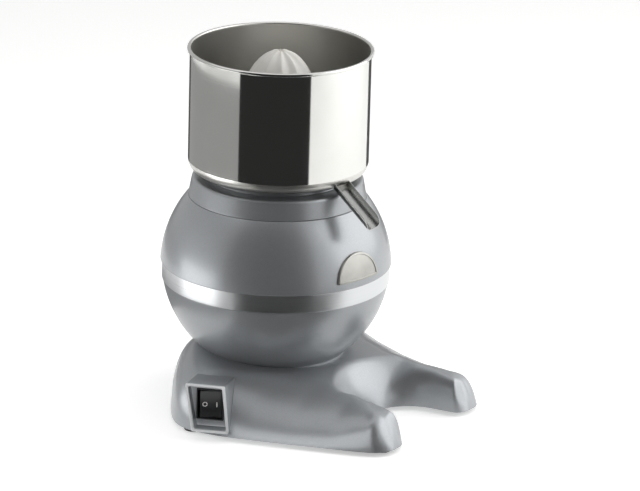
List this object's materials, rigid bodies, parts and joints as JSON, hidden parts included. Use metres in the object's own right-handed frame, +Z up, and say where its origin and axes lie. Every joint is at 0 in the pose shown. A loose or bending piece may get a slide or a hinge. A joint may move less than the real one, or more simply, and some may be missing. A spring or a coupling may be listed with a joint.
{
  "type": "electric citrus juicer",
  "caption": "Electric citrus juicer with a ball-shaped motor housing on a two-legged base, a steel bowl with an open spout, a ribbed reamer and a rocker switch.",
  "frame": {"origin": "point on the table under the motor's axis", "axes": "+Z up along the motor's axis, -Y to the front where the legs and the spout point, -X to the switch's side"},
  "size_m": [0.2821, 0.2754, 0.3248],
  "materials": {
    "paint": "semi-gloss silver-grey metallic paint",
    "polished_steel": "mirror-polished stainless steel",
    "bright_trim": "bright satin metal",
    "badge_metal": "cast and polished, bare",
    "white_plastic": "smooth moulded food-grade plastic",
    "mark_white": "printed white",
    "black_plastic": "moulded, fine grain",
    "rubber": "moulded rubber",
    "zinc_steel": "zinc-plated steel",
    "shaft_steel": "ground steel",
    "core_steel": "stacked steel sheets",
    "copper": "enamelled copper wire",
    "die_cast": "as-cast aluminium",
    "plate_steel": "black painted sheet steel",
    "can_aluminium": "drawn aluminium can",
    "block_plastic": "moulded white plastic"
  },
  "bodies": {
    "housing": {"top_collar": "paint", "collar_screws": "zinc_steel", "upper_shell": "paint", "trim_band": "bright_trim", "lower_shell": "paint", "joint_screws": "zinc_steel", "badge": "badge_metal", "badge_pins": "zinc_steel", "base": "paint", "bottom_plate": "plate_steel", "plate_screws": "zinc_steel", "feet": "rubber", "switch_hood": "paint", "switch_frame": "bright_trim", "switch_body": "black_plastic", "rocker_pin": "zinc_steel", "stator_core": "core_steel", "upper_winding": "copper", "lower_winding": "copper", "upper_bearing": "shaft_steel", "lower_bearing": "shaft_steel", "upper_shield": "die_cast", "lower_shield": "die_cast", "through_bolts": "zinc_steel", "motor_screws": "zinc_steel", "capacitor": "can_aluminium", "capacitor_clip": "zinc_steel", "terminal_block": "block_plastic", "leads": "copper", "cable_gland": "black_plastic", "shell_bolts": "zinc_steel", "seat_gasket": "rubber", "shaft_seal": "rubber"},
    "rotor": {"drive_shaft": "shaft_steel", "drive_pin": "zinc_steel", "slinger": "rubber", "rotor_core": "core_steel", "cooling_fan": "black_plastic"},
    "cone": {"reamer": "white_plastic"},
    "bowl_set": {"bowl": "polished_steel", "spout": "polished_steel"},
    "sieve": {"strainer": "polished_steel"},
    "switch_key": {"rocker": "black_plastic", "rocker_marks": "mark_white"}
  },
  "joints": [
    {"name": "motor_spin", "type": "hinge", "parent": "housing", "child": "rotor", "pos_m": [0, 0, 0.1225], "axis": [0, 0, 1], "continuous": true},
    {"name": "reamer_lift", "type": "slide", "parent": "rotor", "child": "cone", "axis": [0, 0, 1], "range_m": [0, 0.16]},
    {"name": "bowl_lift", "type": "slide", "parent": "housing", "child": "bowl_set", "axis": [0, 0, 1], "range_m": [0, 0.096]},
    {"name": "strainer_lift", "type": "slide", "parent": "bowl_set", "child": "sieve", "axis": [0, 0, 1], "range_m": [0, 0.04]},
    {"name": "rocker_tip", "type": "hinge", "parent": "housing", "child": "switch_key", "pos_m": [-0.12639, -0.01821, 0.0318], "axis": [0, 0, 1], "range_deg": [-16, 0]}
  ],
  "couplings": [
    {"joint": "reamer_lift", "follows": "bowl_lift", "ratio": 1.6},
    {"joint": "strainer_lift", "follows": "bowl_lift", "ratio": 0.4}
  ]
}
